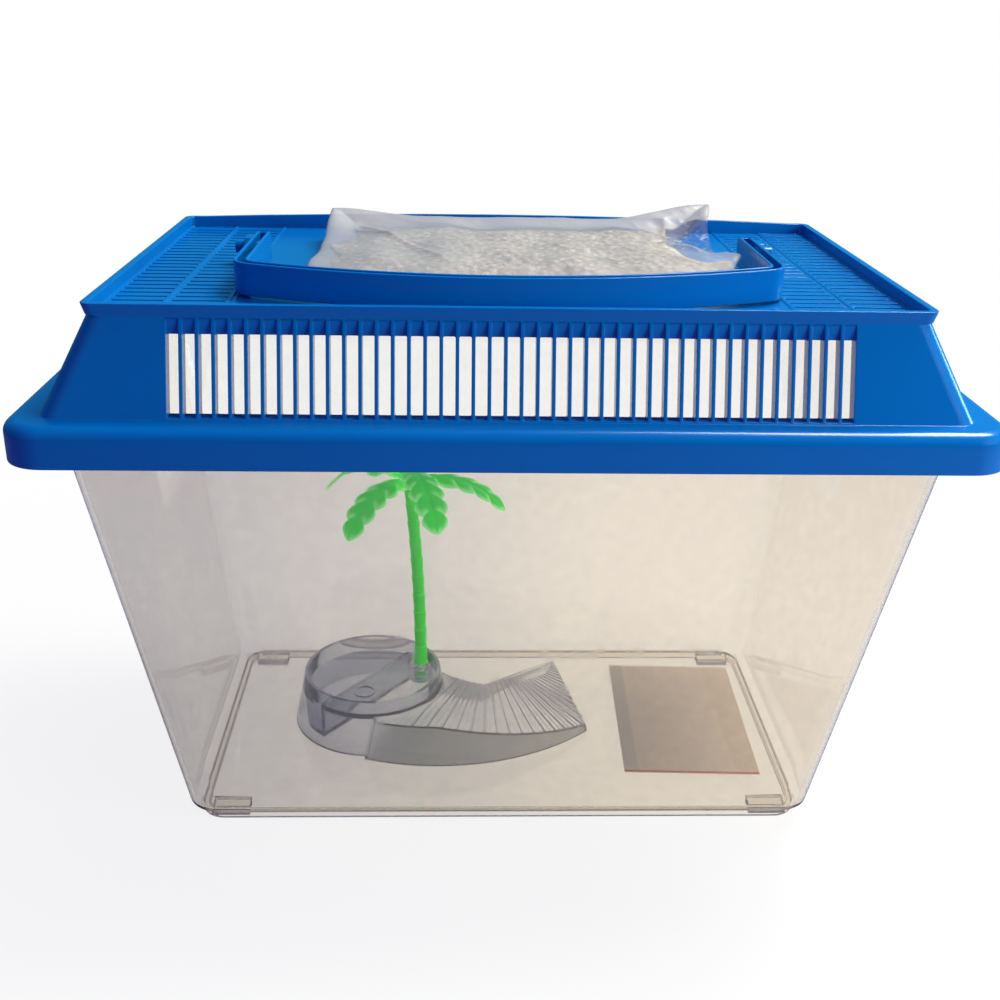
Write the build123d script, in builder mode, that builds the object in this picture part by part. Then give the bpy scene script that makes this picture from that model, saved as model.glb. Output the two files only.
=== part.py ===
"""Portable pet tank: a clear tapered tank under a vented hood lid, with an island and palm inside."""

import os
from math import cos, pi, radians, sin, tan

from build123d import *

# Driving dimensions, in millimetres. +Z is up, the front faces -Y, and the tank stands on z = 0.

# Tank
FOOT_H = 4.0
FOOT_ROOT = 0.6
FOOT_L = 17.0
FOOT_W = 7.0
FOOT_X = 19.0
FOOT_Y = 12.0
RING_INSET = 5.0
RING_T = 2.5
TANK_L = 288.0
TANK_D = 159.0
TANK_CORNER = 16.0
TANK_SPREAD = 30.5
TANK_TOP = 202.6
TANK_WALL = 2.2
TANK_EDGE = 3.5
FLANGE_L = 374.0
FLANGE_D = 231.0
FLANGE_CORNER = 13.0
FLANGE_LIP = 1.5
FLANGE_T = 2.4
FLANGE_DROP = 7.0

# Lid
LID_L = 383.0
LID_D = 238.5
LID_CORNER = 17.0
LID_WALL = 2.0
SKIRT_Z = 189.0
LEDGE_Z = 205.0
LEDGE_R = 5.0
HOOD_L = 356.5
HOOD_D = 215.6
HOOD_CORNER = 8.0
TOP_L = 320.0
TOP_D = 192.8
TOP_CORNER = 4.5
TOP_Z = 241.5
TOP_T = 2.2
RIM_H = 5.0
RIM_T = 2.0
RIM_FLARE = 1.2
CREST_H = 2.8

# Grilles in the hood's two long faces
GRILLE_SLOTS = 43
GRILLE_PITCH = 6.06
FIN_T = 1.4
FIN_DEPTH = 6.0
GRILLE_FOOT = LEDGE_Z + 0.8
GRILLE_HEAD = TOP_Z - 0.5
GRILLE_WEB = 6.0
GRILLE_MARGIN = 2.0

# Vents in the lid's top, in two columns at each end
VENT_ROWS = 25
VENT_PITCH = 7.0
VENT_W = 1.7
VENT_COLUMNS = ((122.8, 20.6), (146.6, 20.4))
VENT_RIBS = (110.8, 134.9)
RIB_T = 1.4
RIB_H = 0.5

# Handle
PIVOT_Y = 2.0
PIVOT_Z = 249.1
HANDLE_W = 221.0
HANDLE_REACH = 90.0
HANDLE_BOW_R = 257.0
HANDLE_CORNER = 12.0
HANDLE_T = 6.0
HANDLE_H = 12.9
HANDLE_WALL = 1.4
ARM_END = 4.5
ARM_END_R = 3.0
PIN_R = 2.7
PIN_FIT = 0.08
PIN_TIP = 4.0
LUG_T = 3.2
LUG_GAP = 1.1
LUG_BASE = 32.0
LUG_HEAD = 10.0
LUG_H = 12.4

# Feeding door, which slides under the lid's top
HATCH_L = 76.0
HATCH_D = 58.0
HATCH_CORNER = 4.0
DOOR_L = 86.0
DOOR_D = 66.0
DOOR_T = 2.0
DOOR_GAP = 0.4
DOOR_TRAVEL = 64.0
GRIP_INSET = 5.0
GRIP_L = 34.8
GRIP_T = 4.0
RAIL_W = 6.0
RAIL_T = 1.8

# Island
FLOOR_Z = FOOT_H + TANK_WALL
SEAT_GAP = 0.3
CUP_X = -64.0
CUP_Y = 6.5
CUP_R = 40.0
CUP_H = 27.0
CUP_TAPER = 11.5
RAMP_END = 2.6
RAMP_RUN = 87.0
RAMP_TURN = 22.0
RAMP_FOOT = (39.0, 24.0)
ISLAND_WALL = 1.8
DECK_Z = 20.0
BOWL_Z = 4.0
MARK_X = -67.6
MARK_Y = -6.0
MARK_R = 5.5
MARK_T = 1.0
MARK_H = 0.6
TREAD_X = -4.0
TREAD_Y = 58.0
TREAD_TURNS = range(-112, 0, 4)
TREAD_REACH = (36.0, 110.0)
TREAD_W = 0.9
TREAD_H = 0.5
CHORD_ANGLE = 52.6
CHORD_SHIFT = 4.4

# Corners of the island's outline, from behind the cup round the bay and the ramp
CUP_BACK = (-64.0, 40.0)
BAY_START = (-36.0, 38.0)
BAY_MIDDLE = (-25.0, 23.0)
BAY_END = (-7.0, 17.5)
RAMP_BACK = (33.0, 60.0)
RAMP_FRONT = (46.0, -11.0)
SIDE_MIDDLE = (-8.0, -40.0)
CUP_FRONT = (-66.0, -36.0)

# Palm
SOCKET_X = -39.9
SOCKET_Y = 22.1
SOCKET_R = 6.4
SOCKET_DEPTH = 9.0
SOCKET_RIM = 1.0
PEG_R = 2.6
PEG_GAP = 1.0
TRUNK_SEAT = 1.5
TRUNK_R = 3.5
TRUNK_FLARE = 0.6
TRUNK_BEND_R = 1000.0
TRUNK_SEGMENTS = 10
TRUNK_SIDES = 12
TRUNK_L = 101.0
LEAF_L = 46.5
LEAF_W = 17.0
LEAF_T = 1.3
LEAF_FOOT = 2.0
LEAF_SEAT = 0.6
LEAF_RISE = 5.5
LEAF_LOBES = 5
LOBE_NOTCH = 0.65
LOBE_START = 0.25
LOBE_END = 0.75
WIDTH_START = 0.18
WIDTH_RUN = 0.76
WIDTH_POWER = 0.7
LEAF_BENDS = 4
HUB_R = 4.6
HUB_H = 5.0
TIP_R = 2.0
LOWER_DROOP = 13.0
LOWER_TURNS = (-127.0, -11.0, 115.0)
UPPER_DROOP = 14.0
UPPER_TURNS = (-70.0, 50.0, 163.0)

# Sticker and bag
LABEL_X = 96.0
LABEL_Y = 5.0
LABEL_TURN = -2.0
LABEL_L = 66.0
LABEL_D = 102.0
LABEL_T = 0.3
BAG_X = 8.0
BAG_Y = 1.0
BAG_LIFT = 0.5
BAG_L = 176.0
BAG_D = 126.0
BAG_H = 12.5
BAG_CORNER = 12.0
BAG_BEVEL = 6.0
BAG_FOOT = 2.6
FILM_T = 0.6
FILL_GAP = 0.4

os.makedirs("parts", exist_ok=True)


def save(piece, name, lift=0):
    """Labels a finished piece, lifts it to its seat and writes it as one STEP file."""
    placed = piece.part.moved(Location((0, 0, lift)))
    placed.label = name
    export_step(placed, f"parts/{name}.step")


def frustum(foot, top, foot_size, top_size, radius):
    """A four-sided block from one level up to another, with its slanted corner edges rounded."""
    with BuildPart(mode=Mode.PRIVATE) as block:
        for plane, low, high, mode in (
            (Plane.XZ, foot_size[0] / 2, top_size[0] / 2, Mode.ADD),
            (Plane.YZ, foot_size[1] / 2, top_size[1] / 2, Mode.INTERSECT),
        ):
            with BuildSketch(plane):
                with BuildLine():
                    Polyline((-low, foot), (low, foot), (high, top), (-high, top), close=True)
                make_face()
            extrude(amount=LID_L, both=True, mode=mode)
        corners = [edge for edge in block.edges() if abs((edge @ 1 - edge @ 0).Z) > 0.9 * (top - foot)]
        fillet(corners, radius=radius)
    return block.part


# Tank body: tapered walls, a flanged rim, a foot ring and four corner feet

def tank_block(wall):
    """The tank's outer form, or with a wall thickness the hollow inside it."""
    inset = wall - TANK_SPREAD * wall / (TANK_TOP - FOOT_H)
    with BuildPart(mode=Mode.PRIVATE) as block:
        add(
            frustum(
                FOOT_H + wall,
                TANK_TOP,
                (TANK_L - 2 * inset, TANK_D - 2 * inset),
                (TANK_L + 2 * (TANK_SPREAD - wall), TANK_D + 2 * (TANK_SPREAD - wall)),
                TANK_CORNER - wall,
            )
        )
        chamfer(block.faces().sort_by(Axis.Z)[0].edges(), length=TANK_EDGE - wall / 2)
    return block.part


with BuildPart() as tank_body:
    add(tank_block(0))
    add(tank_block(TANK_WALL), mode=Mode.SUBTRACT)
    mouth = tank_body.faces().sort_by(Axis.Z)[-1].inner_wires()[0]
    with BuildSketch(Plane.XY.offset(TANK_TOP - FLANGE_T)):
        RectangleRounded(FLANGE_L, FLANGE_D, FLANGE_CORNER)
        add(Face(mouth).moved(Location((0, 0, -FLANGE_T))), mode=Mode.SUBTRACT)
    extrude(amount=FLANGE_T)
    with BuildSketch(Plane.XY.offset(TANK_TOP - FLANGE_DROP)):
        RectangleRounded(FLANGE_L, FLANGE_D, FLANGE_CORNER)
        offset(amount=-FLANGE_LIP, mode=Mode.SUBTRACT)
    extrude(amount=FLANGE_DROP - FLANGE_T / 2)
    with BuildSketch():
        for inset, mode in ((RING_INSET, Mode.ADD), (RING_INSET + RING_T, Mode.SUBTRACT)):
            RectangleRounded(TANK_L - 2 * inset, TANK_D - 2 * inset, TANK_CORNER - inset, mode=mode)
    with BuildSketch():
        with GridLocations(TANK_L - 2 * FOOT_X, TANK_D - 2 * FOOT_Y, 2, 2):
            Rectangle(FOOT_L, FOOT_W)
    extrude(amount=FOOT_H + FOOT_ROOT)
save(tank_body, "tank_body")

# Sticker: a blank label on the underside of the clear floor

with BuildPart() as base_label:
    with BuildSketch(Plane.XY.offset(FOOT_H - LABEL_T)):
        with Locations(Location((LABEL_X, LABEL_Y, 0), (0, 0, LABEL_TURN))):
            Rectangle(LABEL_L, LABEL_D)
    extrude(amount=LABEL_T)
save(base_label, "base_label")

# Lid: skirt, sloping hood, recessed top with a raised rim, grilles, vents, lugs and door rails

lug_x = HANDLE_W / 2 + LUG_GAP
hatch_z = TOP_Z - TOP_T
rail_end = DOOR_L / 2 + DOOR_TRAVEL

with BuildPart() as lid_hood:
    with BuildSketch(Plane.XY.offset(SKIRT_Z)):
        RectangleRounded(LID_L, LID_D, LID_CORNER)
    extrude(amount=LEDGE_Z - SKIRT_Z)
    fillet(lid_hood.faces().sort_by(Axis.Z)[-1].edges(), radius=LEDGE_R)
    add(frustum(LEDGE_Z, TOP_Z, (HOOD_L, HOOD_D), (TOP_L, TOP_D), HOOD_CORNER))
    rim_top = (TOP_L + 2 * RIM_FLARE, TOP_D + 2 * RIM_FLARE)
    add(frustum(TOP_Z, TOP_Z + RIM_H, (TOP_L, TOP_D), rim_top, TOP_CORNER))
    # The rear rim rises in a shallow crest
    with BuildSketch(Plane.XZ.offset(-TOP_D / 2)):
        with BuildLine():
            ThreePointArc(
                (-TOP_L / 2 + TOP_CORNER, TOP_Z + RIM_H),
                (0, TOP_Z + RIM_H + CREST_H),
                (TOP_L / 2 - TOP_CORNER, TOP_Z + RIM_H),
            )
            Line((TOP_L / 2 - TOP_CORNER, TOP_Z + RIM_H), (-TOP_L / 2 + TOP_CORNER, TOP_Z + RIM_H))
        make_face()
    extrude(amount=RIM_T)
    with BuildSketch(Plane.XY.offset(TOP_Z)):
        RectangleRounded(TOP_L - 2 * RIM_T, TOP_D - 2 * RIM_T, TOP_CORNER - RIM_T)
    extrude(amount=RIM_H + CREST_H, mode=Mode.SUBTRACT)
    # Hollow of the skirt, then of the hood
    with BuildSketch(Plane.XY.offset(SKIRT_Z)):
        RectangleRounded(LID_L - 2 * LID_WALL, LID_D - 2 * LID_WALL, LID_CORNER - LID_WALL)
    extrude(amount=LEDGE_Z - LID_WALL - SKIRT_Z, mode=Mode.SUBTRACT)
    inner_foot = (HOOD_L - 2 * LID_WALL, HOOD_D - 2 * LID_WALL)
    inner_top = (TOP_L - 2 * LID_WALL, TOP_D - 2 * LID_WALL)
    hollow = frustum(LEDGE_Z - LID_WALL, hatch_z, inner_foot, inner_top, HOOD_CORNER - LID_WALL)
    add(hollow, mode=Mode.SUBTRACT)
    # Thicker stock behind each grille, then its slots: shallow at the head, through below it
    grille_l = GRILLE_SLOTS * GRILLE_PITCH
    for side in (1, -1):
        with BuildSketch(Plane.YZ.offset(-grille_l / 2 - GRILLE_MARGIN)):
            with BuildLine():
                Polyline(
                    (-side * (HOOD_D / 2 - LID_WALL / 2), LEDGE_Z),
                    (-side * (TOP_D / 2 - LID_WALL / 2), TOP_Z - TOP_T / 2),
                    (-side * (TOP_D / 2 - FIN_DEPTH), TOP_Z - TOP_T / 2),
                    (-side * (HOOD_D / 2 - FIN_DEPTH), LEDGE_Z),
                    close=True,
                )
            make_face()
        extrude(amount=grille_l + 2 * GRILLE_MARGIN)
        for inset, head in ((0, GRILLE_HEAD), (2 * FIN_DEPTH, GRILLE_HEAD - GRILLE_WEB)):
            with BuildSketch(Plane.XZ.offset(side * (TOP_D / 2 - inset))):
                with Locations((0, (GRILLE_FOOT + head) / 2)):
                    with GridLocations(GRILLE_PITCH, 0, GRILLE_SLOTS, 1):
                        Rectangle(GRILLE_PITCH - FIN_T, head - GRILLE_FOOT)
            extrude(amount=side * (inset + HOOD_D - TOP_D), mode=Mode.SUBTRACT)
    # Vent slots in the top, and the low ribs between their columns
    with BuildSketch(Plane.XY.offset(hatch_z)):
        for x, length in VENT_COLUMNS:
            for end in (-1, 1):
                with Locations((end * x, 0)):
                    with GridLocations(0, VENT_PITCH, 1, VENT_ROWS):
                        Rectangle(length, VENT_W)
    extrude(amount=TOP_T, mode=Mode.SUBTRACT)
    with BuildSketch(Plane.XY.offset(TOP_Z)):
        for x in VENT_RIBS:
            with Locations((-x, 0), (x, 0)):
                Rectangle(RIB_T, TOP_D - 2 * RIM_T)
    extrude(amount=RIB_H)
    # Handle lugs, each with a bore for the handle's pin
    for end in (-1, 1):
        with BuildSketch(Plane.YZ.offset(lug_x if end > 0 else -lug_x - LUG_T)):
            with BuildLine():
                Polyline(
                    (PIVOT_Y - LUG_BASE / 2, TOP_Z),
                    (PIVOT_Y - LUG_HEAD / 2, TOP_Z + LUG_H),
                    (PIVOT_Y + LUG_HEAD / 2, TOP_Z + LUG_H),
                    (PIVOT_Y + LUG_BASE / 2, TOP_Z),
                    close=True,
                )
            make_face()
            with Locations((PIVOT_Y, PIVOT_Z)):
                Circle(PIN_R + PIN_FIT, mode=Mode.SUBTRACT)
        extrude(amount=LUG_T)
    # Hatch in the middle of the top, and the two rails that carry its door
    with BuildSketch(Plane.XY.offset(hatch_z)):
        RectangleRounded(HATCH_L, HATCH_D, HATCH_CORNER)
    extrude(amount=TOP_T, mode=Mode.SUBTRACT)
    for side in (-1, 1):
        rail_y = side * (DOOR_D / 2 + DOOR_GAP + RAIL_T / 2)
        with BuildSketch(Plane.XY.offset(hatch_z - DOOR_T - 2 * DOOR_GAP - RAIL_T)):
            with Locations(((rail_end - DOOR_L / 2) / 2, rail_y)):
                Rectangle(rail_end + DOOR_L / 2, RAIL_T)
        extrude(amount=RAIL_T + DOOR_T + 2 * DOOR_GAP)
        with BuildSketch(Plane.XY.offset(hatch_z - DOOR_T - 2 * DOOR_GAP - RAIL_T)):
            with Locations(((rail_end - DOOR_L / 2) / 2, rail_y + side * (RAIL_T - RAIL_W) / 2)):
                Rectangle(rail_end + DOOR_L / 2, RAIL_W)
        extrude(amount=RAIL_T)
save(lid_hood, "lid_hood")

# Feeding door: a flat slide with a finger ridge that stands in the hatch

with BuildPart() as feeding_door:
    with BuildSketch(Plane.XY.offset(hatch_z - DOOR_GAP - DOOR_T)):
        Rectangle(DOOR_L, DOOR_D)
    extrude(amount=DOOR_T)
    with BuildSketch(Plane.XY.offset(hatch_z - DOOR_GAP)):
        with Locations((-HATCH_L / 2 + GRIP_INSET, 0)):
            SlotOverall(GRIP_L, GRIP_T, rotation=90)
    extrude(amount=TOP_T)
save(feeding_door, "feeding_door")


# Handle: a bowed U-channel on two pins, folded forward

def bow_area(inset, end_y):
    """The area inside the bow, set in from its outer edge and reaching back to end_y."""
    half = HANDLE_W / 2 - inset
    radius = HANDLE_BOW_R - inset
    apex = PIVOT_Y - HANDLE_REACH + inset
    shoulder = apex + radius - (radius**2 - half**2) ** 0.5
    with BuildSketch(mode=Mode.PRIVATE) as area:
        with BuildLine():
            Polyline((-half, shoulder), (-half, end_y), (half, end_y), (half, shoulder))
            ThreePointArc((half, shoulder), (0, apex), (-half, shoulder))
        make_face()
        corners = [v for v in area.vertices() if abs(v.Y - shoulder) < 1e-3]
        fillet(corners, radius=HANDLE_CORNER - inset)
    return area.sketch


arm_end = PIVOT_Y + ARM_END

with BuildPart() as handle:
    with BuildSketch(Plane.XY.offset(PIVOT_Z - HANDLE_H / 2)):
        add(bow_area(0, arm_end))
        add(bow_area(HANDLE_T, arm_end + 1), mode=Mode.SUBTRACT)
    extrude(amount=HANDLE_H)
    ends = handle.faces().filter_by(Plane.XZ).group_by(Axis.Y)[-1].edges().filter_by(Axis.X)
    fillet(ends, radius=ARM_END_R)
    with BuildSketch(Plane.XY.offset(PIVOT_Z - HANDLE_H / 2 + HANDLE_WALL)):
        add(bow_area(HANDLE_WALL, arm_end - HANDLE_WALL))
        add(bow_area(HANDLE_T - HANDLE_WALL, arm_end), mode=Mode.SUBTRACT)
    extrude(amount=HANDLE_H, mode=Mode.SUBTRACT)
    for end in (-1, 1):
        with BuildSketch(Plane.YZ.offset(end * (HANDLE_W / 2 - HANDLE_T + HANDLE_WALL / 2))):
            with Locations((PIVOT_Y, PIVOT_Z)):
                Circle(PIN_R)
        extrude(amount=end * (HANDLE_T + LUG_GAP + LUG_T + PIN_TIP))
save(handle, "handle")

# Island: a hollow moulding with a round cup at one end and a ramp that curves away from it

island_z = FLOOR_Z + SEAT_GAP
rim_r = CUP_R - CUP_H * tan(radians(CUP_TAPER))
slope = (DECK_Z - RAMP_END) / RAMP_RUN


def island_block(inset, drop):
    """The island's outer form, or set in and lowered, the hollow under it."""
    with BuildPart(mode=Mode.PRIVATE) as block:
        with BuildSketch():
            with BuildLine():
                Line(CUP_BACK, BAY_START)
                ThreePointArc(BAY_START, BAY_MIDDLE, BAY_END)
                Polyline(BAY_END, RAMP_BACK, RAMP_FRONT)
                ThreePointArc(RAMP_FRONT, SIDE_MIDDLE, CUP_FRONT)
                Line(CUP_FRONT, CUP_BACK)
            make_face()
            offset(amount=-inset)
        extrude(amount=DECK_Z - drop, taper=CUP_TAPER)
        turn = radians(RAMP_TURN)
        surface = Plane(
            origin=(*RAMP_FOOT, RAMP_END - drop),
            x_dir=(-sin(turn), cos(turn), 0),
            z_dir=(slope * cos(turn), slope * sin(turn), 1),
        )
        split(bisect_by=surface, keep=Keep.BOTTOM)
        with BuildSketch():
            with Locations((CUP_X, CUP_Y)):
                Circle(CUP_R - inset)
        extrude(amount=DECK_Z - drop if drop else CUP_H, taper=CUP_TAPER)
    return block.part


def bowl_area(radius, shift):
    """The part of the cup that lies beyond the edge of its deck."""
    edge = Location((CUP_X, CUP_Y, 0), (0, 0, CHORD_ANGLE)) * Location((0, shift, 0))
    with BuildSketch(mode=Mode.PRIVATE) as area:
        with Locations((CUP_X, CUP_Y)):
            Circle(radius)
        with Locations(edge):
            Rectangle(3 * radius, 3 * radius, align=(Align.CENTER, Align.MAX), mode=Mode.SUBTRACT)
    return area.sketch


def treads():
    """Low ridges across the ramp, which fan out from the middle of the bay beside it."""
    near, far = TREAD_REACH
    with BuildPart(mode=Mode.PRIVATE) as fan:
        with BuildSketch():
            for turn in TREAD_TURNS:
                with Locations(Location((TREAD_X, TREAD_Y, 0), (0, 0, turn)) * Location((near, 0, 0))):
                    Rectangle(far - near, TREAD_W, align=(Align.MIN, Align.CENTER))
        extrude(amount=CUP_H)
        add(island_block(0, -TREAD_H), mode=Mode.INTERSECT)
    return fan.part


with BuildPart() as island:
    add(island_block(0, 0))
    add(treads())
    add(island_block(ISLAND_WALL, ISLAND_WALL), mode=Mode.SUBTRACT)
    with BuildSketch(Plane.XY.offset(DECK_Z)):
        with Locations((CUP_X, CUP_Y)):
            Circle(rim_r - ISLAND_WALL)
    extrude(amount=CUP_H, mode=Mode.SUBTRACT)
    # The bowl beside the deck
    with BuildSketch(Plane.XY.offset(BOWL_Z - ISLAND_WALL)):
        add(bowl_area(rim_r, CHORD_SHIFT - ISLAND_WALL))
    extrude(amount=DECK_Z - BOWL_Z + ISLAND_WALL)
    with BuildSketch(Plane.XY.offset(BOWL_Z)):
        add(bowl_area(rim_r - ISLAND_WALL, CHORD_SHIFT))
    extrude(amount=CUP_H - BOWL_Z, mode=Mode.SUBTRACT)
    # A low ring moulded on the deck
    with BuildSketch(Plane.XY.offset(DECK_Z)):
        with Locations((MARK_X, MARK_Y)):
            Circle(MARK_R)
            Circle(MARK_R - MARK_T, mode=Mode.SUBTRACT)
    extrude(amount=MARK_H)
    # The palm's socket
    with BuildSketch(Plane.XY.offset(DECK_Z - SOCKET_DEPTH)):
        with Locations((SOCKET_X, SOCKET_Y)):
            Circle(SOCKET_R)
    extrude(amount=SOCKET_DEPTH + SOCKET_RIM)
    with BuildSketch(Plane.XY.offset(DECK_Z - SOCKET_DEPTH + ISLAND_WALL)):
        with Locations((SOCKET_X, SOCKET_Y)):
            Circle(PEG_R + PIN_FIT)
    extrude(amount=SOCKET_DEPTH, mode=Mode.SUBTRACT)
save(island, "island", island_z)

# Palm trunk: a peg that fits the socket, then flared segments along an arc that bends to the left

trunk_foot = island_z + DECK_Z + TRUNK_SEAT
segment = TRUNK_L / TRUNK_SEGMENTS


def trunk_plane(run):
    """The trunk's cross-section plane at a run along its arc, measured from its foot."""
    turn = run / TRUNK_BEND_R
    return Plane(
        origin=(
            SOCKET_X - TRUNK_BEND_R * (1 - cos(turn)),
            SOCKET_Y,
            trunk_foot + TRUNK_BEND_R * sin(turn),
        ),
        x_dir=(0, 1, 0),
        z_dir=(-sin(turn), 0, cos(turn)),
    )


with BuildPart() as palm_trunk:
    for i in range(TRUNK_SEGMENTS):
        with BuildSketch(trunk_plane(i * segment)):
            RegularPolygon(TRUNK_R - TRUNK_FLARE, TRUNK_SIDES)
        with BuildSketch(trunk_plane((i + 1) * segment)):
            RegularPolygon(TRUNK_R, TRUNK_SIDES)
        loft(ruled=True)
    with BuildSketch(trunk_plane(TRUNK_L)):
        Circle(TIP_R)
    extrude(amount=2 * HUB_H)
    with BuildSketch(Plane.XY.offset(island_z + DECK_Z - SOCKET_DEPTH + ISLAND_WALL + PEG_GAP)):
        with Locations((SOCKET_X, SOCKET_Y)):
            Circle(PEG_R)
    extrude(amount=SOCKET_DEPTH)
save(palm_trunk, "palm_trunk")


# Palm leaves: two whorls of lobed leaves, each on a hub that fits the trunk's tip


def half_width(x):
    """Half the leaf's width at a distance x from its foot: widest past the middle, round at the tip."""
    return LEAF_W / 2 * sin(pi * (WIDTH_START + WIDTH_RUN * x / LEAF_L)) ** WIDTH_POWER


def leaf(droop):
    """One arched leaf along +X, lobed at both edges, whose tip is droop below its foot."""
    with BuildPart(mode=Mode.PRIVATE) as blade:
        with BuildSketch(Plane.XY.offset(-LEAF_L)):
            with BuildLine():
                lobe = (LEAF_L - HUB_R) / LEAF_LOBES
                edge = [(0, 0), (0, LEAF_FOOT)]
                for i in range(LEAF_LOBES):
                    start = HUB_R + i * lobe
                    edge.append((start, LOBE_NOTCH * half_width(start)))
                    edge.append((start + LOBE_START * lobe, half_width(start)))
                    edge.append((start + LOBE_END * lobe, half_width(start + lobe / 2)))
                edge.append((LEAF_L, 0))
                Polyline(edge, close=True)
            make_face()
            mirror(about=Plane.XZ)
        extrude(amount=2 * LEAF_L)
        with BuildSketch(Plane.XZ):
            with BuildLine():
                steps = [i / LEAF_BENDS for i in range(LEAF_BENDS + 1)]
                arch = [(LEAF_L * t, 4 * LEAF_RISE * t * (1 - t) - droop * t**2) for t in steps]
                Polyline([*arch, *((x, z + LEAF_T) for x, z in reversed(arch))], close=True)
            make_face()
        extrude(amount=LEAF_W, both=True, mode=Mode.INTERSECT)
    return blade.part


crown = trunk_plane(TRUNK_L)

for name, level, droop, turns in (
    ("palm_leaves_lower", 0, LOWER_DROOP, LOWER_TURNS),
    ("palm_leaves_upper", 1, UPPER_DROOP, UPPER_TURNS),
):
    hub = crown.offset(level * HUB_H)
    blade = leaf(droop)
    with BuildPart() as whorl:
        with BuildSketch(hub):
            Circle(HUB_R)
        extrude(amount=HUB_H)
        for turn in turns:
            with Locations(Location(hub.origin) * Location((0, 0, LEAF_SEAT), (0, 0, turn))):
                add(blade)
        with BuildSketch(hub.offset(-HUB_H)):
            Circle(TIP_R + PIN_FIT)
        extrude(amount=4 * HUB_H, mode=Mode.SUBTRACT)
    save(whorl, name)

# Bag: a sealed pillow of film, and the loose filling inside it


def bag_form(inset):
    """The bag's pillow form, set in on all sides."""
    with BuildPart(mode=Mode.PRIVATE) as form:
        with BuildSketch(Plane.XY.offset(TOP_Z + BAG_LIFT + inset)):
            with Locations((BAG_X, BAG_Y)):
                Rectangle(BAG_L - 2 * inset, BAG_D - 2 * inset)
        extrude(amount=BAG_H - 2 * inset)
        chamfer(form.edges().filter_by(Axis.Z), length=BAG_CORNER - inset)
        chamfer(form.faces().sort_by(Axis.Z)[-1].edges(), length=BAG_BEVEL - inset)
        chamfer(form.faces().sort_by(Axis.Z)[0].edges(), length=BAG_FOOT - inset)
    return form.part


with BuildPart() as bag_film:
    add(bag_form(0))
    add(bag_form(FILM_T), mode=Mode.SUBTRACT)
save(bag_film, "bag_film")

with BuildPart() as bag_filling:
    add(bag_form(FILM_T + FILL_GAP))
save(bag_filling, "bag_filling")
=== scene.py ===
"""Looks of a portable pet tank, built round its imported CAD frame.

The lid, handle, door, tank and island are the CAD forms with eased edges. The palm and the bag are worked out
here as grid surfaces. Lengths are millimetres until a mesh is made, and the front faces -Y.
"""

import logging
import math
from dataclasses import dataclass
from enum import Enum
from typing import Any

import bmesh
import bpy
import numpy as np
from mathutils import Matrix

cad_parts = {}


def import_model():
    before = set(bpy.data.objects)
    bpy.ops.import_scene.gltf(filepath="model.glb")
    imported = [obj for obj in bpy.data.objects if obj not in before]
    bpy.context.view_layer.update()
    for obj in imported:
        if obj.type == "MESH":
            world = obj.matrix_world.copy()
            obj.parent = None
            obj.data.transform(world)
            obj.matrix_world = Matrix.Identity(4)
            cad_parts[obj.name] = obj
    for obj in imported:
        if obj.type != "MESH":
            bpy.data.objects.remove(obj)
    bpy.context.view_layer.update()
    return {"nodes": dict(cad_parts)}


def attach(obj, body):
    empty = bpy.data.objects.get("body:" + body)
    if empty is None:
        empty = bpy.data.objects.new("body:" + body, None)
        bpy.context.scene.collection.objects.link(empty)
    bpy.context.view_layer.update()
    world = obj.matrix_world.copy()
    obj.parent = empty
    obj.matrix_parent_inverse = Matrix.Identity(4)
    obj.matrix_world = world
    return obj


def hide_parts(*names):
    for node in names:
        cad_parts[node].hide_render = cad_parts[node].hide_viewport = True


Colour = tuple[float, float, float, float]
Socket = bpy.types.NodeSocket
Tree = bpy.types.NodeTree

LOG = logging.getLogger("pet_tank")
MM = 0.001

# Points of a grid or of a CAD copy nearer than these are one, and shorter edges are slivers, in millimetres
SEAM = 0.01
SLIVER = 0.005
WELD = 0.002


class Ease(Enum):
    """How far a moulding's sharp edges are rounded, in millimetres."""

    FINE = 0.15
    SOFT = 0.4


class Layer(Enum):
    """The two levels of leaves on the palm's crown, counted from below."""

    LOWER = 0
    UPPER = 1


# Colour and node helpers


def linear(code: str) -> Colour:
    """Turns an sRGB hex colour into linear light.

    Args:
        code: Six hex digits after a hash sign.

    Returns:
        Red, green, blue and an alpha of one.
    """
    srgb = [int(code[i : i + 2], 16) / 255 for i in (1, 3, 5)]
    light = [c / 12.92 if c <= 0.04045 else ((c + 0.055) / 1.055) ** 2.4 for c in srgb]
    return (*light, 1.0)


def add_node(tree: Tree, kind: str, inputs: dict[Any, Any], **settings: Any) -> bpy.types.Node:
    """Adds one node with its settings, its values and its links.

    Args:
        tree: The node tree that gets the node.
        kind: The node's type name, less its leading ShaderNode.
        inputs: Value, or socket to link from, for each input by name or number.
        settings: The node's own properties. stops sets a colour ramp's places and hex colours.

    Returns:
        The new node.
    """
    made = tree.nodes.new(f"ShaderNode{kind}")
    for place, code in settings.pop("stops", ()):
        ramp = made.color_ramp.elements
        stop = ramp[0] if place == 0 else ramp[-1] if place == 1 else ramp.new(place)
        stop.color = linear(code)
    for name, value in settings.items():
        setattr(made, name, value)
    for key, value in inputs.items():
        if isinstance(value, Socket):
            tree.links.new(value, made.inputs[key])
        else:
            made.inputs[key].default_value = value
    return made


def new_material(name: str) -> tuple[bpy.types.Material, Tree, Socket]:
    """Starts an empty node material.

    Args:
        name: The material's name.

    Returns:
        The material, its node tree and the Object coordinates in it.
    """
    material = bpy.data.materials.new(name)
    material.use_nodes = True
    tree = material.node_tree
    tree.nodes.clear()
    return material, tree, add_node(tree, "TexCoord", {}).outputs["Object"]


def grey(value: float) -> Colour:
    """A neutral linear colour."""
    return (value, value, value, 1.0)


# Finishes


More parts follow.
